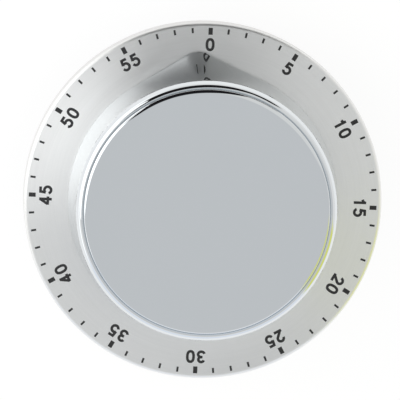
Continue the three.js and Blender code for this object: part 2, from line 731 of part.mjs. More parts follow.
/** A bar with heavier ends, which sets the pace of the ticking. */
function vergeWeight() {
  const across = directionOf([0, 0], VERGE_AT) + Math.PI / 2;
  const { reach, beamHalf, endR, bossR } = VERGE_WEIGHT;
  const ends = [polar(reach, across), polar(-reach, across)];
  const beam = bar(ends[0], ends[1], beamHalf, VERGE_WEIGHT_Z);
  const lumps = ends.map((at) => rod(endR, VERGE_WEIGHT_Z, at, 16));
  const boss = rod(bossR, VERGE_WEIGHT_Z);
  const bore = rod(ARBOR_R + PIVOT_PLAY, [VERGE_WEIGHT_Z[0] - CUT, VERGE_WEIGHT_Z[1] + CUT]);
  return carved([beam, boss, ...lumps], [bore]);
}

/** A ring about the main arbor. */
function collar() {
  return plate(circle(COLLAR.r, 20), COLLAR.z, [circle(MAIN_BORE_R, 16)]);
}

/** A dished spring washer, which lets the great wheel slip while the knob is wound. */
function clutchWasher() {
  const bore = MAIN_BORE_R + PIVOT_PLAY;
  const { r, bottom, dish, sheet } = WASHER;
  return turned([
    [bore, bottom + dish],
    [r, bottom],
    [r, bottom + sheet],
    [bore, bottom + dish + sheet],
  ], 20);
}

/** The cam whose notch lets the trip lever drop when the time is up. */
function tripCam() {
  const half = Math.asin(CAM.notchWidth / 2 / CAM.r);
  const rim = arc(0, 0, CAM.r, Math.PI / 2 + half, 2.5 * Math.PI - half, 28);
  const floor = CAM.r - CAM.notchDepth;
  const notch = [[CAM.notchWidth / 4, floor], [-CAM.notchWidth / 4, floor]];
  return plate([...rim, ...notch], CAM.z, [circle(MAIN_R + CAM_PLAY, 20)]);
}

/** The coiled strip, with its outer end hooked round a pillar. */
function mainspring() {
  const anchor = PILLARS_AT[2];
  const coil = [];
  const steps = SPRING_TURNS * 14;
  for (let i = 0; i <= steps; i += 1) {
    const share = i / steps;
    const angle = Math.PI / 2 + 2 * Math.PI * SPRING_TURNS * (share - 1);
    coil.push(polar(SPRING_R[0] + (SPRING_R[1] - SPRING_R[0]) * share, angle));
  }
  const hookR = PILLAR_R + GAP + SPRING_STRIP / 2;
  const hook = arc(anchor[0], anchor[1], hookR, Math.PI / 2, 1.6 * Math.PI, 5);
  return ribbon([...coil, ...hook], SPRING_STRIP, SPRING_Z);
}

/** A strip of constant thickness that follows a path. */
function ribbon(path, thickness, heights) {
  const sides = [1, -1].map((side) => path.map((point, i) => {
    const before = path[Math.max(i - 1, 0)];
    const after = path[Math.min(i + 1, path.length - 1)];
    return polar((side * thickness) / 2, directionOf(before, after) + Math.PI / 2, point);
  }));
  return plate([...sides[1], ...sides[0].toReversed()], heights);
}

// ---- bell and hammer ----

function bell() {
  const [bottom, top] = BELL_Z;
  const bowl = (inset) => {
    const points = [];
    for (let i = 0; i <= 5; i += 1) {
      const turn = (i / 5) * (Math.PI / 2);
      const r = BELL_FLAT_R + (BELL_R - inset - BELL_FLAT_R) * Math.sin(turn);
      const rise = (top - bottom) * (1 - Math.cos(turn));
      points.push([r, Math.min(bottom + inset + rise, top)]);
    }
    return points;
  };
  return turned([
    [BELL_HOLE_R, bottom],
    ...bowl(0),
    ...bowl(BELL_SHEET).toReversed(),
    [BELL_HOLE_R, bottom + BELL_SHEET],
  ], 32);
}

function hammerArbor() {
  return turned([
    [0, HAMMER_ARM_Z[0] - HAMMER_ARBOR_END],
    [HAMMER_ARBOR_R, HAMMER_ARM_Z[0] - HAMMER_ARBOR_END],
    [HAMMER_ARBOR_R, FRONT_PLATE[0] - END_SHAKE],
    [HAMMER_PIVOT_R, FRONT_PLATE[0] - END_SHAKE],
    [HAMMER_PIVOT_R, FRONT_PLATE[1] - PIVOT_SINK],
    [0, FRONT_PLATE[1] - PIVOT_SINK],
  ], 16);
}

const fromHammerPivot = (at) => [at[0] - HAMMER_AT[0], at[1] - HAMMER_AT[1]];

/** A flat lever with an eye that sits on the hammer arbor. */
function leverFromArbor(end, halfWidth, heights, endHole) {
  const arm = bar([0, 0], end, halfWidth, heights);
  const eye = rod(HAMMER_EYE_R, heights);
  const through = [heights[0] - CUT, heights[1] + CUT];
  const bore = rod(HAMMER_ARBOR_R + HAMMER_PLAY, through, [0, 0], 16);
  const rivetHole = rod(RIVET_R + PIVOT_PLAY, through, end);
  return carved([arm, eye], endHole ? [bore, rivetHole] : [bore]);
}

/** The hammer's head, with the rivet that holds it on the arm. */
function hammerHead() {
  const rivetEnd = HAMMER_ARM_Z[0] - RIVET_END;
  return turned([
    [0, rivetEnd],
    [RIVET_R, rivetEnd],
    [RIVET_R, HAMMER_ARM_Z[1] + GAP],
    [HAMMER_HEAD_R, HAMMER_ARM_Z[1] + GAP],
    [HAMMER_HEAD_R, HAMMER_HEAD_TOP - HAMMER_HEAD_BEVEL],
    [HAMMER_HEAD_R - HAMMER_HEAD_BEVEL, HAMMER_HEAD_TOP],
    [0, HAMMER_HEAD_TOP],
  ], 24);
}

/** A wire spring coiled round the hammer arbor, with two straight tails. */
function hammerSpring() {
  const { r, turns, low, pitch, tail, wireR } = HAMMER_SPRING;
  const points = [new THREE.Vector3(r, -tail, low)];
  for (let i = 0; i <= turns * 12; i += 1) {
    const angle = (2 * Math.PI * i) / 12;
    points.push(new THREE.Vector3(...polar(r, angle), low + (pitch * i) / 12));
  }
  points.push(new THREE.Vector3(r, tail, low + pitch * turns));
  const path = new THREE.CatmullRomCurve3(points, false, 'centripetal');
  const wire = new THREE.Shape(circle(wireR, 5).map(([x, y]) => new THREE.Vector2(x, y)));
  return new THREE.ExtrudeGeometry(wire, { steps: 40, bevelEnabled: false, extrudePath: path });
}

// ---- assembly ----

const timer = new THREE.Group();
timer.name = 'kitchen_timer';

function fit(name, geometry, material, at = [0, 0]) {
  const mesh = new THREE.Mesh(geometry, material());
  mesh.name = name;
  mesh.position.set(at[0], at[1], 0);
  timer.add(mesh);
  return mesh;
}

function fitCase() {
  fit('housing', housing(), blackPlastic);
  fit('rest_ring', restRing(), rubber);
  fit('magnet_left', discMagnet(), magnet, [-MAGNET_X, 0]);
  fit('magnet_right', discMagnet(), magnet, [MAGNET_X, 0]);
  fit('dial_carrier', dialCarrier(), greyPlastic);
  fit('dial_ring', dialRing(), brushedSteel);
  CASE_SCREWS_AT.forEach((at, i) => {
    const upsideDown = screw(CASE_SCREW).rotateX(Math.PI).translate(0, 0, TOWER_ROOF - GAP);
    fit(`case_screw_${i + 1}`, upsideDown, pivotSteel, at);
  });
  fit('bell', bell(), bellSteel);
  const bellScrew = screw(BELL_SCREW).translate(0, 0, BELL_Z[0] + BELL_SHEET + GAP);
  fit('bell_screw', bellScrew, pivotSteel);
}

function fitKnob() {
  fit('knob_body', knobBody(), polishedSteel);
  fit('knob_cap', knobCap(), polishedSteel);
  fit('knob_hub', knobHub(), greyPlastic);
  fit('main_arbor', mainArbor(), pivotSteel);
  fit('arbor_collar', collar(), brass);
  fit('great_wheel', wheel(GREAT, directionOf([0, 0], SECOND_AT), MAIN_BORE_R, GREAT_WINDOWS), brass);
  fit('clutch_washer', clutchWasher(), springSteel);
  fit('trip_cam', tripCam(), brass);
}

function fitMovementFrame() {
  fit('rear_plate', movementPlate(REAR_PLATE, MAIN_PIVOT_R, HAMMER_ARBOR_R, []), brass);
  fit('front_plate', movementPlate(FRONT_PLATE, MAIN_NECK_R, HAMMER_PIVOT_R, MOVEMENT_SCREWS_AT), brass);
  ['lower', 'right', 'left'].forEach((side, i) => {
    fit(`pillar_${side}`, pillar(), brass, PILLARS_AT[i]);
  });
  MOVEMENT_SCREWS_AT.forEach((at, i) => {
    const standing = screw(MOVEMENT_SCREW).translate(0, 0, DRUM_TOP + MOVEMENT_SCREW_GAP);
    fit(`movement_screw_${i + 1}`, standing, pivotSteel, at);
  });
  fit('mainspring', mainspring(), springSteel);
}

function fitTrain() {
  fit('second_pinion', pinion(SECOND_PINION, directionOf(SECOND_AT, [0, 0])), pivotSteel, SECOND_AT);
  fit('second_wheel', smallWheel(SECOND, SECOND_AT, THIRD_AT), brass, SECOND_AT);
  fit('third_pinion', pinion(THIRD_PINION, directionOf(THIRD_AT, SECOND_AT)), pivotSteel, THIRD_AT);
  fit('third_wheel', smallWheel(THIRD, THIRD_AT, ESCAPE_AT), brass, THIRD_AT);
  fit('escape_pinion', pinion(ESCAPE_PINION, directionOf(ESCAPE_AT, THIRD_AT)), pivotSteel, ESCAPE_AT);
  const entryPallet = directionOf(ESCAPE_AT, VERGE_AT) + PALLET_SPAN / 2;
  fit('escape_wheel', escapeWheel(entryPallet), brass, ESCAPE_AT);
}

function fitVerge() {
  fit('verge_arbor', arbor(), pivotSteel, VERGE_AT);
  fit('verge_lever', vergeLever(), brass, VERGE_AT);
  fit('verge_weight', vergeWeight(), brass, VERGE_AT);
}

function fitHammer() {
  fit('hammer_arbor', hammerArbor(), pivotSteel, HAMMER_AT);
  const head = fromHammerPivot(HEAD_AT);
  fit('hammer_arm', leverFromArbor(head, HAMMER_ARM_HALF, HAMMER_ARM_Z, true), pivotSteel, HAMMER_AT);
  fit('hammer_head', hammerHead(), brass, HEAD_AT);
  const tripEnd = fromHammerPivot([0, TRIP_LEVER_END_Y]);
  fit('trip_lever', leverFromArbor(tripEnd, TRIP_LEVER_HALF, TRIP_LEVER_Z, false), pivotSteel, HAMMER_AT);
  fit('hammer_spring', hammerSpring(), springSteel, HAMMER_AT);
}

fitCase();
fitKnob();
fitMovementFrame();
fitTrain();
fitVerge();
fitHammer();

export default timer;
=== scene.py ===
"""Looks of a round wind-up kitchen timer: brushed steel dial ring, mirror knob, black case, clockwork.

Metres, in the CAD frame: it lies on its back, +Z points out of the dial and the 0 mark is towards +Y.
"""

import json
import math

import bmesh
import bpy
from mathutils import Matrix, Vector


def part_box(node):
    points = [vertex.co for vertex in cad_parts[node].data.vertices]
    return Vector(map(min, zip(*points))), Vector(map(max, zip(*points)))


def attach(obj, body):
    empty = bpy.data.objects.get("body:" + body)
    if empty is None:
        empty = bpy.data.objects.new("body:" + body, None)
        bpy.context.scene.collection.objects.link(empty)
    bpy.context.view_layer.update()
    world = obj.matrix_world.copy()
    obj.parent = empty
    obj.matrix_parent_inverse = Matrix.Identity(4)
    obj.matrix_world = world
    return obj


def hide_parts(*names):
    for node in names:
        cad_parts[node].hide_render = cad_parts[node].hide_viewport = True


MM = 0.001

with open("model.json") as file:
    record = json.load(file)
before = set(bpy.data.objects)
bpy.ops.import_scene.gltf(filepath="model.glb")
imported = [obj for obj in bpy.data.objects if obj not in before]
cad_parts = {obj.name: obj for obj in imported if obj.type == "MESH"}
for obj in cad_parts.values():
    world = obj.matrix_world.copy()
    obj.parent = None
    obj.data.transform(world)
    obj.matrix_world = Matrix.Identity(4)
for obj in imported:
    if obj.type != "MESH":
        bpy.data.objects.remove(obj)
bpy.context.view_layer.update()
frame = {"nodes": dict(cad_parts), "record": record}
nodes = frame["nodes"]

# ---- sizes ----

ring_low, ring_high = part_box("dial_ring")
body_low, body_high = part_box("knob_body")
cap_low, cap_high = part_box("knob_cap")
housing_low, housing_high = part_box("housing")
_, rest_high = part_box("rest_ring")
magnet_low, magnet_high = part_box("magnet_right")

SEGMENTS = 256  # round the large circles
CASE_SEGMENTS = 160
SMALL_SEGMENTS = 48
SHARP_ANGLE = math.radians(35)  # edges bent by more than this aren't shaded smooth

# dial ring
RING_R = ring_high.x
RING_TOP = ring_high.z
RING_EDGE_BOTTOM = ring_low.z
RING_HOLE_R = 27.5 * MM
RING_SHEET = 0.8 * MM
RING_FALL = 0.15 * MM  # the face falls by this towards its edge
RING_HEM = 1.6 * MM
HEM_ROUND = 0.4 * MM
MARK_LIFT = 0.02 * MM  # the print stands over the face by this
MARK_SINK = 0.02 * MM

# print
MINUTES = 60
MINUTES_PER_NUMERAL = 5
FINE_TICK = {"inner": 37.7 * MM, "outer": 38.85 * MM, "width": 0.46 * MM}
BROAD_TICK = {"inner": 37.3 * MM, "outer": 38.85 * MM, "width": 0.95 * MM}
DIGIT_BASE_R = 33.62 * MM
DIGIT_HEIGHT = 2.95 * MM
DIGIT_WIDTH = 2.0 * MM
DIGIT_PITCH = 2.4 * MM
DIGIT_STROKE = 0.6 * MM
STEM_ENDS = (-0.095, 1.095)  # of a digit's height between its outer centrelines

# knob
SKIRT_FOOT = body_low.z
SKIRT_FOOT_R = 30.15 * MM
FOOT_ROUND = 0.25 * MM
FOOT_STEPS = 4
NECK = 37.2 * MM
NECK_R = 28.6 * MM
PROW_R = 33.5 * MM
PROW_AT_NECK = 0.05 * MM
PROW_TIP_ROUND = 6 * MM
PROW_ANGLE = math.radians(4.6)  # anticlockwise from the 0 mark, at the off stop
SKIRT_WALL = 1.2 * MM
SKIRT_LEVELS = 18
LIP_R = 28.9 * MM
LIP_WIDEST = 38.2 * MM
SHOULDER_TOP = body_high.z
LEDGE_R = 24 * MM
LEDGE_TOP = 39.3 * MM
LEDGE_BOTTOM = 38.2 * MM
RIM_R = 27.45 * MM
CAP_SEAT_R = 27.08 * MM
SEAT_BEVEL = 0.27 * MM
CAP_R = cap_high.x
CAP_FLAT_R = 26 * MM
CAP_TOP = cap_high.z
CAP_BOTTOM = cap_low.z
CAP_EDGE_TILT = 17  # degrees, how far the face falls away at its edge
CAP_BEVEL = 0.1 * MM
CAP_SHEET = 0.7 * MM
SUPPORT = 0.05 * MM  # a loop this far inside a flat face keeps its shading flat

# case
HOUSING_R = housing_high.x
HOUSING_FOOT_R = 36.8 * MM
HOUSING_TOP = housing_high.z
HOUSING_BOTTOM = housing_low.z
HOUSING_FLOOR = 2.9 * MM
HOUSING_WALL = 1.8 * MM
HOUSING_CORNER = 2.5 * MM
REST_R = (31.2 * MM, rest_high.x)
REST_TOP = rest_high.z
REST_ROUND = 0.45 * MM
REST_GROOVE = 2 * MM
SEAT_PLAY = 0.2 * MM
MAGNET_X = (magnet_low.x + magnet_high.x) / 2
MAGNET_R = (magnet_high.x - magnet_low.x) / 2
MAGNET_Z = (magnet_low.z, magnet_high.z)
MAGNET_ROUND = 0.35 * MM
MAGNET_WALL = 1.2 * MM
GAP = 0.3 * MM
TOWER_R = 3.4 * MM
TOWER_TOP = 12 * MM
TOWER_BORE_R = 2.7 * MM
TOWER_ROOF = 9 * MM
TOWER_HOLE_R = 1.3 * MM
BELL_BOSS_R = 4 * MM
BELL_BOSS_TOP = 4.1 * MM
BELL_PILOT_R = 1.5 * MM
BELL_PILOT_BOTTOM = 1.7 * MM
JOIN = 0.5 * MM
CUT = 1 * MM

# the view
VIEW_DISTANCE = 1.235
VIEW_WIDTH = 89.17 * MM  # seen across the frame at the dial's height
VIEW_UPWARDS = math.radians(7.3)  # the camera stands off the axis, towards the 0 mark
VIEW_LEFTWARDS = math.radians(2.85)
VIEW_ROLL = math.radians(2.6)  # the 0 mark shows this far clockwise
AIM_OFFSET = (-0.655 * MM, 0.285 * MM)  # along the frame's width and height
SENSOR = 36  # mm


# ---- mesh helpers ----


def arc(centre_r, centre_z, radius, start, end, steps):
    """Points of an arc in an outline, angles in degrees, both ends included."""
    points = []
    for i in range(steps + 1):
        angle = math.radians(start + (end - start) * i / steps)
        points.append((centre_r + radius * math.cos(angle), centre_z + radius * math.sin(angle)))
    return points


def smooth(mesh):
    """Smooth shading, with the sharper edges kept."""
    for polygon in mesh.polygons:
        polygon.use_smooth = True
    mesh.set_sharp_from_angle(angle=SHARP_ANGLE)


def make_object(name, mesh_builder):
    """A smooth-shaded object from a bmesh."""
    bmesh.ops.recalc_face_normals(mesh_builder, faces=mesh_builder.faces)
    mesh = bpy.data.meshes.new(name)
    mesh_builder.to_mesh(mesh)
    mesh_builder.free()
    smooth(mesh)
    piece = bpy.data.objects.new(name, mesh)
    bpy.context.scene.collection.objects.link(piece)
    return piece


def add_loop(builder, rows):
    """Faces between each row of vertices and the next; a row of one vertex is a pole."""
    count = max(len(row) for row in rows)
    for lower, upper in zip(rows, rows[1:] + rows[:1]):
        if len(lower) == len(upper) == 1:
            continue
        for i in range(count):
            j = (i + 1) % count
            below = [lower[i % len(lower)], lower[j % len(lower)]]
            above = [upper[j % len(upper)], upper[i % len(upper)]]
            builder.faces.new(list(dict.fromkeys(below + above)))


def lathe(name, outline, segments=SEGMENTS, centre=(0, 0)):
    """A solid of revolution about a line along Z, from its (radius, height) outline."""
    builder = bmesh.new()
    rows = []
    for radius, height in outline:
        around = segments if radius > 0 else 1
        row = []
        for i in range(around):
            angle = 2 * math.pi * i / segments
            at = (centre[0] + radius * math.cos(angle), centre[1] + radius * math.sin(angle), height)
            row.append(builder.verts.new(at))
        rows.append(row)
    add_loop(builder, rows)
    return make_object(name, builder)


def post(radius, bottom, top, centre=(0, 0)):
    """A cylinder used to join or cut."""
    outline = [(0, bottom), (radius, bottom), (radius, top), (0, top)]
    return lathe("tool", outline, SMALL_SEGMENTS, centre)


def combined(piece, tools, operation):
    """Joins tools to a piece or cuts them from it, and removes the tools."""
    for tool in tools:
        change = piece.modifiers.new("shape", "BOOLEAN")
        change.operation = operation
        change.object = tool
        change.solver = "EXACT"
    graph = bpy.context.evaluated_depsgraph_get()
    graph.update()
    mesh = bpy.data.meshes.new_from_object(piece.evaluated_get(graph))
    piece.modifiers.clear()
    old = piece.data
    piece.data = mesh
    bpy.data.meshes.remove(old)
    for tool in tools:
        bpy.data.objects.remove(tool)
    smooth(mesh)
    return piece


def fit(piece, body, slot_name, material, *replaced):
    """Gives a piece its finish and its body, and hides the CAD nodes it stands for."""
    piece.data.materials.clear()
    piece.data.materials.append(material)
    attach(piece, body)
    if replaced:
        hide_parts(*replaced)
    return piece


# ---- node helpers ----

SIDE_GRAIN = 0.7  # how closely round grain is spaced down a side, against across a face

def add(tree, kind, inputs=None, **settings):
    """A node with its settings, and its inputs set to values or linked to other sockets."""
    made = tree.nodes.new(kind)
    for key, value in settings.items():
        setattr(made, key, value)
    for key, value in (inputs or {}).items():
        if isinstance(value, bpy.types.NodeSocket):
            tree.links.new(value, made.inputs[key])
        else:
            made.inputs[key].default_value = value
    return made


def maths(tree, operation, first, second=0.0):
    return add(tree, "ShaderNodeMath", {0: first, 1: second}, operation=operation).outputs[0]


def spread(tree, value, low, high, smooth=False, source=(0.0, 1.0)):
    """Maps a value from the source range to low..high."""
    made = add(
        tree,
        "ShaderNodeMapRange",
        {"Value": value, "From Min": source[0], "From Max": source[1], "To Min": low, "To Max": high},
        interpolation_type="SMOOTHSTEP" if smooth else "LINEAR",
    )
    return made.outputs["Result"]


def mixed(tree, share, first, second):
    """One colour over another, by share."""
    made = add(tree, "ShaderNodeMix", {"Factor": share}, data_type="RGBA")
    for socket, value in ((made.inputs[6], first), (made.inputs[7], second)):
        if isinstance(value, bpy.types.NodeSocket):
            tree.links.new(value, socket)
        else:
            socket.default_value = (*value, 1)
    return made.outputs[2]


def noise(tree, vector, scale, detail=3.0, roughness=0.55):
    made = add(
        tree,
        "ShaderNodeTexNoise",
        {"Vector": vector, "Scale": scale, "Detail": detail, "Roughness": roughness},
    )
    return made.outputs["Fac"]


def object_place(tree):
    return add(tree, "ShaderNodeTexCoord").outputs["Object"]


def stretched(tree, vector, scales):
    """Coordinates scaled by different amounts along the three axes."""
    made = add(tree, "ShaderNodeVectorMath", {0: vector, 1: scales}, operation="MULTIPLY")
    return made.outputs["Vector"]


def round_grain(tree, along, across):
    """Coordinates for grain that runs in circles about Z: coarse along a circle, fine across them."""
    place = object_place(tree)
    parts = add(tree, "ShaderNodeSeparateXYZ", {0: place})
    flat = add(tree, "ShaderNodeCombineXYZ", {"X": parts.outputs["X"], "Y": parts.outputs["Y"]})
    radius = add(tree, "ShaderNodeVectorMath", {0: flat.outputs[0]}, operation="LENGTH").outputs["Value"]
    way = add(tree, "ShaderNodeVectorMath", {0: flat.outputs[0]}, operation="NORMALIZE").outputs["Vector"]
    coarse = add(tree, "ShaderNodeVectorMath", {0: way, 1: (along, along, 0)}, operation="MULTIPLY")
    reach = maths(tree, "ADD", radius, maths(tree, "MULTIPLY", parts.outputs["Z"], SIDE_GRAIN))
    fine = add(tree, "ShaderNodeCombineXYZ", {"Z": maths(tree, "MULTIPLY", reach, across)})
    joined = add(
        tree,
        "ShaderNodeVectorMath",
        {0: coarse.outputs["Vector"], 1: fine.outputs[0]},
        operation="ADD",
    )
    return joined.outputs["Vector"]


def new_material(name, base, metallic, roughness, normal=None, **constants):
    """A material whose colour, roughness and normal come from builders that take the node tree."""
    material = bpy.data.materials.new(name)
    material.use_nodes = True
    tree = material.node_tree
    shader = tree.nodes["Principled BSDF"]
    shader.inputs["Metallic"].default_value = metallic
    for key, value in constants.items():
        shader.inputs[key.replace("_", " ").title()].default_value = value
    tree.links.new(base(tree), shader.inputs["Base Color"])
    tree.links.new(roughness(tree), shader.inputs["Roughness"])
    if normal:
        tree.links.new(normal(tree), shader.inputs["Normal"])
    return material


def bump(tree, height, strength, distance):
    made = add(tree, "ShaderNodeBump", {"Height": height, "Strength": strength, "Distance": distance})
    return made.outputs["Normal"]


# ---- materials ----

RING_SIDE = (RING_TOP - 1.2 * MM, RING_TOP - 0.4 * MM)  # where the ring's face finish fades out

def brushed_ring():
    """Stainless sheet brushed in circles about the dial's axis, with a duller side."""

    def base(tree):
        streaks = noise(tree, round_grain(tree, 2.0, 2600), 1.0)
        face = mixed(tree, streaks, (0.88, 0.885, 0.875), (0.95, 0.953, 0.943))
        height = add(tree, "ShaderNodeSeparateXYZ", {0: object_place(tree)}).outputs["Z"]
        side_share = spread(tree, height, 1, 0, True, RING_SIDE)
        return mixed(tree, side_share, face, (0.78, 0.775, 0.765))

    def roughness(tree):
        streaks = noise(tree, round_grain(tree, 3.0, 4200), 1.0)
        wear = noise(tree, object_place(tree), 60)
        return maths(tree, "ADD", spread(tree, streaks, 0.30, 0.42), spread(tree, wear, -0.02, 0.03))

    def normal(tree):
        return bump(tree, noise(tree, round_grain(tree, 4.0, 6500), 1.0), 0.12, 0.02 * MM)

    material = new_material("brushed_dial_steel", base, 1.0, roughness, normal, anisotropic=0.7)
    shader = material.node_tree.nodes["Principled BSDF"]
    shader.inputs["Anisotropic Rotation"].default_value = 0.25
    tangent = add(material.node_tree, "ShaderNodeTangent", direction_type="RADIAL", axis="Z")
    material.node_tree.links.new(tangent.outputs[0], shader.inputs["Tangent"])
    return material


def mirror_steel():
    """Polished steel with the faintest haze and polishing lines."""

    def base(tree):
        cloud = noise(tree, object_place(tree), 45)
        return mixed(tree, cloud, (0.76, 0.79, 0.81), (0.78, 0.81, 0.83))

    def roughness(tree):
        haze = noise(tree, object_place(tree), 120)
        lines = noise(tree, round_grain(tree, 3.0, 5000), 1.0)
        return maths(tree, "ADD", spread(tree, haze, 0.012, 0.03), spread(tree, lines, 0.0, 0.012))

    def normal(tree):
        return bump(tree, noise(tree, object_place(tree), 70, 1.0), 0.02, 0.05 * MM)

    return new_material("mirror_steel", base, 1.0, roughness, normal)


def dial_print():
    """Black printing ink, slightly uneven."""

    def base(tree):
        return mixed(tree, noise(tree, object_place(tree), 900), (0.014, 0.014, 0.015), (0.028, 0.028, 0.03))

    def roughness(tree):
        return spread(tree, noise(tree, object_place(tree), 2500), 0.42, 0.6)

    return new_material("dial_print", base, 0.0, roughness)


def moulded(name, dark, light, rough, grain=0.25):
    """Moulded plastic or rubber: a fine spark-eroded grain and a little unevenness."""

    def base(tree):
        return mixed(tree, noise(tree, object_place(tree), 140), dark, light)

    def roughness(tree):
        cloud = noise(tree, object_place(tree), 300)
        return spread(tree, cloud, rough - 0.08, rough + 0.08)

    def normal(tree):
        return bump(tree, noise(tree, object_place(tree), 5200, 2.0), grain, 0.03 * MM)

    return new_material(name, base, 0.0, roughness, normal)


def worked_metal(name, dark, light, rough, grain=(300, 300, 4000), anisotropic=0.3):
    """Metal with lines from its working and a mottled tone."""

    def lines(tree):
        return noise(tree, stretched(tree, object_place(tree), grain), 1.0)

    def base(tree):
        cloud = noise(tree, object_place(tree), 220)
        share = maths(tree, "MULTIPLY", lines(tree), 0.6)
        both = maths(tree, "ADD", share, maths(tree, "MULTIPLY", cloud, 0.4))
        return mixed(tree, both, dark, light)

    def roughness(tree):
        return spread(tree, lines(tree), rough - 0.07, rough + 0.09)

    def normal(tree):
        return bump(tree, lines(tree), 0.15, 0.02 * MM)

    return new_material(name, base, 1.0, roughness, normal, anisotropic=anisotropic)


MATERIALS = {
    "black_plastic": moulded("black_plastic", (0.018, 0.018, 0.019), (0.030, 0.030, 0.032), 0.48),
    "grey_plastic": moulded("grey_plastic", (0.13, 0.135, 0.14), (0.18, 0.185, 0.19), 0.5),
    "rubber": moulded("rubber", (0.012, 0.012, 0.012), (0.022, 0.022, 0.022), 0.8, 0.4),
    "magnet": worked_metal("nickel_magnet", (0.42, 0.43, 0.44), (0.60, 0.61, 0.62), 0.3, (900, 900, 900)),
    "plain_steel": worked_metal("plain_steel", (0.42, 0.43, 0.44), (0.58, 0.59, 0.60), 0.28),
    "bell_steel": worked_metal("bell_steel", (0.50, 0.51, 0.52), (0.68, 0.69, 0.70), 0.18),
    "spring_steel": worked_metal("spring_steel", (0.10, 0.12, 0.17), (0.20, 0.22, 0.27), 0.32),
    "brass": worked_metal("brass", (0.50, 0.34, 0.12), (0.68, 0.49, 0.20), 0.3, (2600, 260, 2600)),
    "brushed_steel": brushed_ring(),
    "polished_steel": mirror_steel(),
}


def dress_cad_nodes():
    """Each CAD node gets the material of its slot."""
    for subpart in frame["record"]["subparts"]:
        slots = nodes[subpart["node"]].data.materials
        slots.clear()
        slots.append(MATERIALS[subpart["material_slot"]])


# ---- dial ring and its print ----


def dial_ring():
    edge_top = RING_TOP - RING_FALL
    inner = RING_R - RING_SHEET
    hem_bottom = RING_TOP - RING_HEM
    outline = [
        (RING_HOLE_R, hem_bottom),
        (RING_HOLE_R + RING_SHEET, hem_bottom),
        (RING_HOLE_R + RING_SHEET, RING_TOP - RING_SHEET),
        (inner, edge_top - RING_SHEET),
        (inner, RING_EDGE_BOTTOM),
        (RING_R, RING_EDGE_BOTTOM),
        (RING_R, edge_top - RING_SHEET - SUPPORT),
        *arc(inner, edge_top - RING_SHEET, RING_SHEET, 0, 90, 12),
        (inner - SUPPORT, face_height(inner - SUPPORT)),
        (RING_HOLE_R + HEM_ROUND + SUPPORT, face_height(RING_HOLE_R + HEM_ROUND + SUPPORT)),
        *arc(RING_HOLE_R + HEM_ROUND, RING_TOP - HEM_ROUND, HEM_ROUND, 90, 180, 6),
    ]
    return lathe("dial_ring_brushed", outline)


def face_height(radius):
    """Height of the dial's sloping face at a distance from the axis."""
    inner = RING_HOLE_R + HEM_ROUND
    outer = RING_R - RING_SHEET
    share = (radius - inner) / (outer - inner)
    return RING_TOP - RING_FALL * min(max(share, 0.0), 1.0)


def on_dial(minute, out, aside, lift):
    """A point on the dial: at a minute's direction, this far out and clockwise aside."""
    angle = 2 * math.pi * minute / MINUTES
    outward = Vector((math.sin(angle), math.cos(angle)))
    clockwise = Vector((math.cos(angle), -math.sin(angle)))
    flat = outward * out + clockwise * aside
    return Vector((flat.x, flat.y, face_height(flat.length) + lift))


def ticks(name, minutes, inner, outer, width):
    """Printed bars, one for each minute."""
    builder = bmesh.new()
    corners = [(inner, -width / 2), (inner, width / 2), (outer, width / 2), (outer, -width / 2)]
    for minute in minutes:
        low = [builder.verts.new(on_dial(minute, out, aside, -MARK_SINK)) for out, aside in corners]
        high = [builder.verts.new(on_dial(minute, out, aside, MARK_LIFT)) for out, aside in corners]
        builder.faces.new(low)
        builder.faces.new(high)
        for i in range(len(corners)):
            j = (i + 1) % len(corners)
            builder.faces.new((low[i], low[j], high[j], high[i]))
    return make_object(name, builder)


def oval(x, y, across, upright, start, end, steps=20):
    """Points along part of an oval, angles in degrees."""
    points = []
    for i in range(steps + 1):
        angle = math.radians(start + (end - start) * i / steps)
        points.append((x + across * math.cos(angle), y + upright * math.sin(angle)))
    return points


def squared_oval(steps=44, power=0.83):
    """The 0's centreline, a little squarer than an oval."""
    points = []
    for i in range(steps):
        angle = 2 * math.pi * i / steps
        x = math.copysign(abs(math.cos(angle)) ** power, math.cos(angle))
        y = math.copysign(abs(math.sin(angle)) ** power, math.sin(angle))
        points.append((0.5 + x / 2, 0.5 + y / 2))
    return points


# centrelines of the strokes, in a box 1 wide and 1 high
DIGIT_LINES = {
    "0": [squared_oval()],
    "1": [[(0.62, STEM_ENDS[0]), (0.62, STEM_ENDS[1])], [(0.12, 0.74), (0.44, 0.81), (0.62, 0.98)]],
    "2": [[*oval(0.5, 0.72, 0.48, 0.28, 182, -38), (0.1, 0.02)], [(-0.16, 0), (1.12, 0)]],
    "3": [
        oval(0.49, 0.76, 0.44, 0.24, 165, -90),
        oval(0.49, 0.26, 0.51, 0.26, 90, -165),
        [(0.28, 0.52), (0.5, 0.52)],
    ],
    "4": [
        [(0.74, STEM_ENDS[0]), (0.74, STEM_ENDS[1])],
        [(0.72, 1), (-0.05, 0.27)],
        [(-0.16, 0.27), (1.15, 0.27)],
    ],
    "5": [[(1, 1), (0.2, 1), (0.08, 0.5)], oval(0.47, 0.32, 0.53, 0.32, 136, -162)],
}


MITRE_LIMIT = 0.5  # a mitre reaches at most the half width divided by this


def edge_points(line, half, closed):
    """The two sides of a stroke of constant width, with mitred corners."""
    left, right = [], []
    count = len(line)
    for i, (x, y) in enumerate(line):
        before = line[i - 1] if closed or i else line[i]
        after = line[(i + 1) % count] if closed or i < count - 1 else line[i]
        here = Vector((x, y))
        ways = [step.normalized() for step in (here - Vector(before), Vector(after) - here) if step.length]
        along = sum(ways, Vector((0, 0))).normalized()
        reach = half / max(along.dot(ways[0]), MITRE_LIMIT)
        side = Vector((-along.y, along.x)) * reach
        left.append(here + side)
        right.append(here - side)
    return left, right


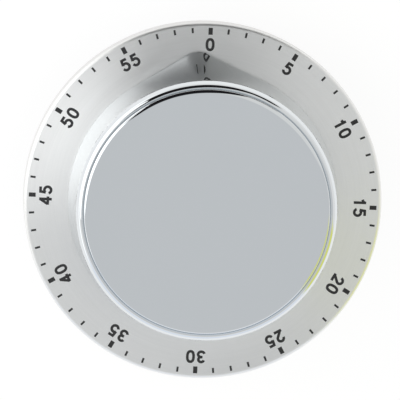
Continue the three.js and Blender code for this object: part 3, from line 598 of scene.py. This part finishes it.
def stroke(line, closed):
    """A stroke of a digit as a flat solid."""
    wide = DIGIT_WIDTH - DIGIT_STROKE
    tall = DIGIT_HEIGHT - DIGIT_STROKE
    placed = [((x - 0.5) * wide, DIGIT_STROKE / 2 + y * tall) for x, y in line]
    left, right = edge_points(placed, DIGIT_STROKE / 2, closed)
    builder = bmesh.new()
    rows = []
    corners = ((left, -MARK_SINK), (right, -MARK_SINK), (right, MARK_LIFT), (left, MARK_LIFT))
    for side, height in corners:
        rows.append([builder.verts.new((at.x, at.y, height)) for at in side])
    steps = len(placed) if closed else len(placed) - 1
    for lower, upper in zip(rows, rows[1:] + rows[:1]):
        for i in range(steps):
            j = (i + 1) % len(placed)
            builder.faces.new((lower[i], lower[j], upper[j], upper[i]))
    if not closed:
        builder.faces.new([row[0] for row in rows])
        builder.faces.new([row[-1] for row in rows])
    return make_object("stroke", builder)


def digit_mesh(character):
    """A digit's flat solid at its printed size, with its foot at y = 0 and centred on x = 0."""
    strokes = [stroke(line, character == "0") for line in DIGIT_LINES[character]]
    if len(strokes) > 1:
        combined(strokes[0], strokes[1:], "UNION")
    mesh = strokes[0].data
    bpy.data.objects.remove(strokes[0])
    return mesh


def numerals():
    """The numerals 0 to 55, reading outwards, wrapped onto the dial's face."""
    digits = {character: digit_mesh(character) for character in DIGIT_LINES}
    builder = bmesh.new()
    for minute in range(0, MINUTES, MINUTES_PER_NUMERAL):
        text = str(minute)
        for place, character in enumerate(text):
            aside = (place - (len(text) - 1) / 2) * DIGIT_PITCH
            before = len(builder.verts)
            builder.from_mesh(digits[character])
            builder.verts.ensure_lookup_table()
            for vertex in builder.verts[before:]:
                x, y, lift = vertex.co
                vertex.co = on_dial(minute, DIGIT_BASE_R + y, aside + x, lift)
    for mesh in digits.values():
        bpy.data.meshes.remove(mesh)
    return make_object("dial_numerals", builder)


# ---- knob ----


def prow_section(circle_r, tip_r, steps=208, flank_steps=12, tip_steps=14):
    """A circle drawn out to a rounded tip towards +X."""
    half = math.acos((circle_r - PROW_TIP_ROUND) / (tip_r - PROW_TIP_ROUND))
    tip_centre = (circle_r - PROW_TIP_ROUND) / math.cos(half)
    degrees = math.degrees(half)
    circle = arc(0, 0, circle_r, degrees, 360 - degrees, steps)
    tip = arc(tip_centre, 0, PROW_TIP_ROUND, -degrees, degrees, tip_steps)
    flanks = [between(circle[-1], tip[0], flank_steps), between(tip[-1], circle[0], flank_steps)]
    return [*circle, *flanks[0], *tip, *flanks[1]]


def between(start, end, steps):
    """Points that divide a straight stretch, its ends left out."""
    return [
        (start[0] + (end[0] - start[0]) * i / steps, start[1] + (end[1] - start[1]) * i / steps)
        for i in range(1, steps)
    ]


def skirt_rows():
    """The skirt from its rounded foot to the neck, as (section, height)."""
    rows = []
    for i in range(FOOT_STEPS + 1):
        turn = math.pi / 2 * i / FOOT_STEPS
        inset = FOOT_ROUND * (1 - math.sin(turn))
        height = SKIRT_FOOT + FOOT_ROUND * (1 - math.cos(turn))
        rows.append((prow_section(SKIRT_FOOT_R - inset, PROW_R - inset), height))
    for i in range(1, SKIRT_LEVELS + 1):
        left = 1 - i / SKIRT_LEVELS
        flare = (left + left**2) / 2
        height = NECK + (SKIRT_FOOT + FOOT_ROUND - NECK) * left
        circle_r = NECK_R + (SKIRT_FOOT_R - NECK_R) * flare
        tip_r = NECK_R + PROW_AT_NECK + (PROW_R - NECK_R - PROW_AT_NECK) * flare
        rows.append((prow_section(circle_r, tip_r), height))
    return rows


def knob_body():
    rows = skirt_rows()
    angles = [math.atan2(y, x) for x, y in rows[-1][0]]

    def level(radius, height):
        return [(radius * math.cos(a), radius * math.sin(a)) for a in angles], height

    lip = arc(0, 0, 1, 270, 360, 6)[1:]
    shoulder = arc(0, 0, 1, 0, 90, 14)[1:]
    for out, up in lip:
        rows.append(level(NECK_R + (LIP_R - NECK_R) * out, LIP_WIDEST + (LIP_WIDEST - NECK) * up))
    for out, up in shoulder:
        rows.append(level(RIM_R + (LIP_R - RIM_R) * out, LIP_WIDEST + (SHOULDER_TOP - LIP_WIDEST) * up))
    rows.append(level(CAP_SEAT_R + SEAT_BEVEL, SHOULDER_TOP))
    rows.append(level(CAP_SEAT_R, SHOULDER_TOP - SEAT_BEVEL))
    rows.append(level(CAP_SEAT_R, LEDGE_TOP))
    rows.append(level(LEDGE_R, LEDGE_TOP))
    rows.append(level(LEDGE_R, LEDGE_BOTTOM))
    rows.append(level(NECK_R - SKIRT_WALL, LEDGE_BOTTOM))
    rows.append(level(SKIRT_FOOT_R - SKIRT_WALL, SKIRT_FOOT))
    turn = math.pi / 2 + PROW_ANGLE
    builder = bmesh.new()
    loops = []
    for section, height in rows:
        loop = []
        for x, y in section:
            at = Matrix.Rotation(turn, 2) @ Vector((x, y))
            loop.append(builder.verts.new((at.x, at.y, height)))
        loops.append(loop)
    add_loop(builder, loops)
    return make_object("knob_body_polished", builder)


def knob_cap():
    """A flat disc whose face falls away at its edge, with a small bevel to its side."""
    inside = CAP_R - CAP_SHEET
    tilt = math.radians(CAP_EDGE_TILT)
    edge_round = (CAP_R - CAP_BEVEL - CAP_FLAT_R) / math.sin(tilt)
    edge_end = CAP_TOP - edge_round * (1 - math.cos(tilt))
    outline = [
        (0, CAP_TOP - CAP_SHEET),
        (inside, CAP_TOP - CAP_SHEET),
        (inside, CAP_BOTTOM),
        (CAP_R, CAP_BOTTOM),
        (CAP_R, edge_end - CAP_BEVEL),
        *arc(CAP_FLAT_R, CAP_TOP - edge_round, edge_round, 90 - CAP_EDGE_TILT, 90, 16),
        (CAP_FLAT_R - SUPPORT, CAP_TOP),
        (CAP_FLAT_R / 2, CAP_TOP),
        (0, CAP_TOP),
    ]
    return lathe("knob_cap_polished", outline)


# ---- case ----


def screw_places():
    """Where the case screws stand, from the CAD nodes."""
    places = []
    for i in (1, 2, 3):
        low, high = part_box(f"case_screw_{i}")
        places.append(((low.x + high.x) / 2, (low.y + high.y) / 2))
    return places


def housing():
    corner = HOUSING_CORNER
    inside = HOUSING_FOOT_R - HOUSING_WALL
    outline = [
        (0, HOUSING_BOTTOM),
        *arc(HOUSING_FOOT_R - corner, HOUSING_BOTTOM + corner, corner, -90, 0, 10),
        (HOUSING_R, RING_EDGE_BOTTOM - CUT),
        (HOUSING_R, HOUSING_TOP),
        (HOUSING_R - HOUSING_WALL, HOUSING_TOP),
        (inside, HOUSING_FLOOR + CUT),
        (inside - CUT, HOUSING_FLOOR),
        (0, HOUSING_FLOOR),
    ]
    shell = lathe("housing_moulded", outline, CASE_SEGMENTS)
    pocket_top = MAGNET_Z[1] + GAP
    magnets = [(-MAGNET_X, 0), (MAGNET_X, 0)]
    floor = HOUSING_FLOOR - JOIN
    added = [post(TOWER_R, floor, TOWER_TOP, at) for at in screw_places()]
    added += [post(MAGNET_R + MAGNET_WALL, floor, pocket_top + MAGNET_WALL, at) for at in magnets]
    added.append(post(BELL_BOSS_R, floor, BELL_BOSS_TOP))
    combined(shell, added, "UNION")
    low = HOUSING_BOTTOM - CUT
    groove = [
        (REST_R[0] - SEAT_PLAY, low),
        (REST_R[1] + SEAT_PLAY, low),
        (REST_R[1] + SEAT_PLAY, REST_GROOVE),
        (REST_R[0] - SEAT_PLAY, REST_GROOVE),
    ]
    removed = [post(TOWER_BORE_R, low, TOWER_ROOF, at) for at in screw_places()]
    removed += [post(TOWER_HOLE_R, TOWER_ROOF - CUT, TOWER_TOP + CUT, at) for at in screw_places()]
    removed += [post(MAGNET_R + SEAT_PLAY, low, pocket_top, at) for at in magnets]
    removed.append(lathe("tool", groove, CASE_SEGMENTS))
    removed.append(post(BELL_PILOT_R, BELL_PILOT_BOTTOM, BELL_BOSS_TOP + CUT))
    return combined(shell, removed, "DIFFERENCE")


def rest_ring():
    inner, outer = REST_R
    outline = [
        *arc(outer - REST_ROUND, REST_ROUND, REST_ROUND, -90, 0, 5),
        (outer, REST_TOP),
        (inner, REST_TOP),
        *arc(inner + REST_ROUND, REST_ROUND, REST_ROUND, 180, 270, 5),
    ]
    return lathe("rest_ring_rubber", outline, CASE_SEGMENTS)


def magnet(side, x):
    bottom, top = MAGNET_Z
    outline = [
        (0, bottom),
        (MAGNET_R - MAGNET_ROUND - SUPPORT, bottom),
        *arc(MAGNET_R - MAGNET_ROUND, bottom + MAGNET_ROUND, MAGNET_ROUND, -90, 0, 5),
        (MAGNET_R, top),
        (0, top),
    ]
    return lathe(f"magnet_{side}_plated", outline, SMALL_SEGMENTS * 2, (x, 0))


# ---- stage ----

# radiance of the surroundings, seen in the mirror knob
OVERHEAD = (0.641, 0.651, 0.662)
SURROUND = (0.88, 0.87, 0.86)
BRIGHT_SIDE = (1.4, 1.4, 1.4)
PALE_SIDE = (0.79, 0.79, 0.78)
COOL_LOW = (0.84, 0.89, 0.98)
LIME_CARD = (0.80, 0.82, 0.22)
DARK_CARD = (0.012, 0.012, 0.013)
CARD_SOFT = 4  # degrees over which a card's upper and lower edges fade
LAMP_BEARING = math.radians(-68)  # clockwise from the 0 mark
LAMP_ZENITH = math.radians(42)
LAMP_DISTANCE = 0.16
LAMP_SIZE = 0.14
LAMP_POWER = 0.047
FLOOR_HALF = 4
FLOOR_BELOW = 0.02 * MM
FLOOR_GREY = (0.13, 0.13, 0.13, 1)
FLOOR_GLOW = 0.92


def span(tree, value, start, end, soft):
    """1 between two values of an angle in degrees, falling to 0 over the soft width beyond."""
    rise = spread(tree, value, 0, 1, True, (start - soft, start))
    fall = spread(tree, value, 1, 0, True, (end, end + soft))
    return maths(tree, "MULTIPLY", rise, fall)


def studio():
    """A plain studio, by bearing clockwise from the 0 mark and angle from overhead, in degrees."""
    world = bpy.data.worlds.new("studio")
    bpy.context.scene.world = world
    world.use_nodes = True
    tree = world.node_tree
    way = add(tree, "ShaderNodeTexCoord").outputs["Generated"]
    parts = add(tree, "ShaderNodeSeparateXYZ", {0: way})
    east, north, up = parts.outputs
    zenith = maths(tree, "MULTIPLY", maths(tree, "ARCCOSINE", up), math.degrees(1))
    bearing = maths(tree, "MULTIPLY", maths(tree, "ARCTAN2", east, north), math.degrees(1))
    turned = maths(tree, "ABSOLUTE", bearing)

    def layer(under, colour, bearings, zeniths, soft, about=bearing):
        side = span(tree, about, *bearings, soft)
        height = span(tree, zenith, *zeniths, CARD_SOFT)
        return mixed(tree, maths(tree, "MULTIPLY", side, height), under, colour)

    sky = layer(SURROUND, BRIGHT_SIDE, (-120, -40), (74, 100), 25)
    sky = layer(sky, COOL_LOW, (130, 200), (58, 100), 15, turned)
    sky = layer(sky, OVERHEAD, (-200, 200), (-10, 36), 10)
    sky = layer(sky, LIME_CARD, (106, 128), (36, 82), 6)
    sky = layer(sky, PALE_SIDE, (14, 80), (9, 58), 6)
    sky = layer(sky, DARK_CARD, (-52, 26), (8, 38), 4)
    sky = layer(sky, DARK_CARD, (-30, 38), (34, 66), 4)
    background = tree.nodes["Background"]
    tree.links.new(sky, background.inputs["Color"])


def floor():
    """A white table that glows a little, so that it stays white under the case."""
    builder = bmesh.new()
    corners = [(-1, -1), (1, -1), (1, 1), (-1, 1)]
    builder.faces.new(
        [builder.verts.new((x * FLOOR_HALF, y * FLOOR_HALF, -FLOOR_BELOW)) for x, y in corners]
    )
    table = make_object("floor", builder)
    material = bpy.data.materials.new("floor")
    material.use_nodes = True
    shader = material.node_tree.nodes["Principled BSDF"]
    shader.inputs["Base Color"].default_value = FLOOR_GREY
    shader.inputs["Roughness"].default_value = 0.8
    shader.inputs["Specular IOR Level"].default_value = 0.0
    shader.inputs["Emission Color"].default_value = (1, 1, 1, 1)
    shader.inputs["Emission Strength"].default_value = FLOOR_GLOW
    table.data.materials.append(material)


def lamp():
    """A soft lamp close by, to the left of the 0 mark."""
    data = bpy.data.lights.new("lamp", "AREA")
    data.shape = "DISK"
    data.size = LAMP_SIZE
    data.energy = LAMP_POWER
    light = bpy.data.objects.new("lamp", data)
    bpy.context.scene.collection.objects.link(light)
    flat = math.sin(LAMP_ZENITH) * LAMP_DISTANCE
    height = math.cos(LAMP_ZENITH) * LAMP_DISTANCE
    away = Vector((flat * math.sin(LAMP_BEARING), flat * math.cos(LAMP_BEARING), height))
    light.location = away
    light.rotation_mode = "QUATERNION"
    light.rotation_quaternion = away.to_track_quat("Z", "Y")


def camera():
    """Nearly square on the dial, from a little towards its top."""
    up = Vector((-math.sin(VIEW_ROLL), math.cos(VIEW_ROLL), 0))
    right = Vector((math.cos(VIEW_ROLL), math.sin(VIEW_ROLL), 0))
    out = Vector((0, 0, 1))
    towards = (out + up * math.tan(VIEW_UPWARDS) - right * math.tan(VIEW_LEFTWARDS)).normalized()
    data = bpy.data.cameras.new("camera")
    data.sensor_width = SENSOR
    data.lens = SENSOR * VIEW_DISTANCE / VIEW_WIDTH
    data.clip_start = 0.1
    data.clip_end = 20
    eye = bpy.data.objects.new("camera", data)
    bpy.context.scene.collection.objects.link(eye)
    frame_right = up.cross(towards).normalized()
    frame_up = towards.cross(frame_right)
    offset = frame_right * AIM_OFFSET[0] + frame_up * AIM_OFFSET[1]
    eye.location = Vector((0, 0, RING_TOP)) + towards * VIEW_DISTANCE + offset
    axes = Matrix((frame_right, frame_up, towards)).transposed()
    eye.rotation_mode = "QUATERNION"
    eye.rotation_quaternion = axes.to_quaternion()
    bpy.context.scene.camera = eye


# ---- the scene ----

dress_cad_nodes()
fit(dial_ring(), "case", "brushed_steel", MATERIALS["brushed_steel"], "dial_ring")
ink = dial_print()
fine = [m for m in range(MINUTES) if m % MINUTES_PER_NUMERAL]
broad = range(0, MINUTES, MINUTES_PER_NUMERAL)
fit(ticks("minute_ticks", fine, **FINE_TICK), "case", None, ink)
fit(ticks("five_minute_ticks", broad, **BROAD_TICK), "case", None, ink)
fit(numerals(), "case", None, ink)
fit(knob_body(), "knob", "polished_steel", MATERIALS["polished_steel"], "knob_body")
fit(knob_cap(), "knob", "polished_steel", MATERIALS["polished_steel"], "knob_cap")
fit(housing(), "case", "black_plastic", MATERIALS["black_plastic"], "housing")
fit(rest_ring(), "case", "rubber", MATERIALS["rubber"], "rest_ring")
fit(magnet("left", -MAGNET_X), "case", "magnet", MATERIALS["magnet"], "magnet_left")
fit(magnet("right", MAGNET_X), "case", "magnet", MATERIALS["magnet"], "magnet_right")

studio()
floor()
lamp()
camera()
bpy.context.scene.view_settings.view_transform = "Standard"
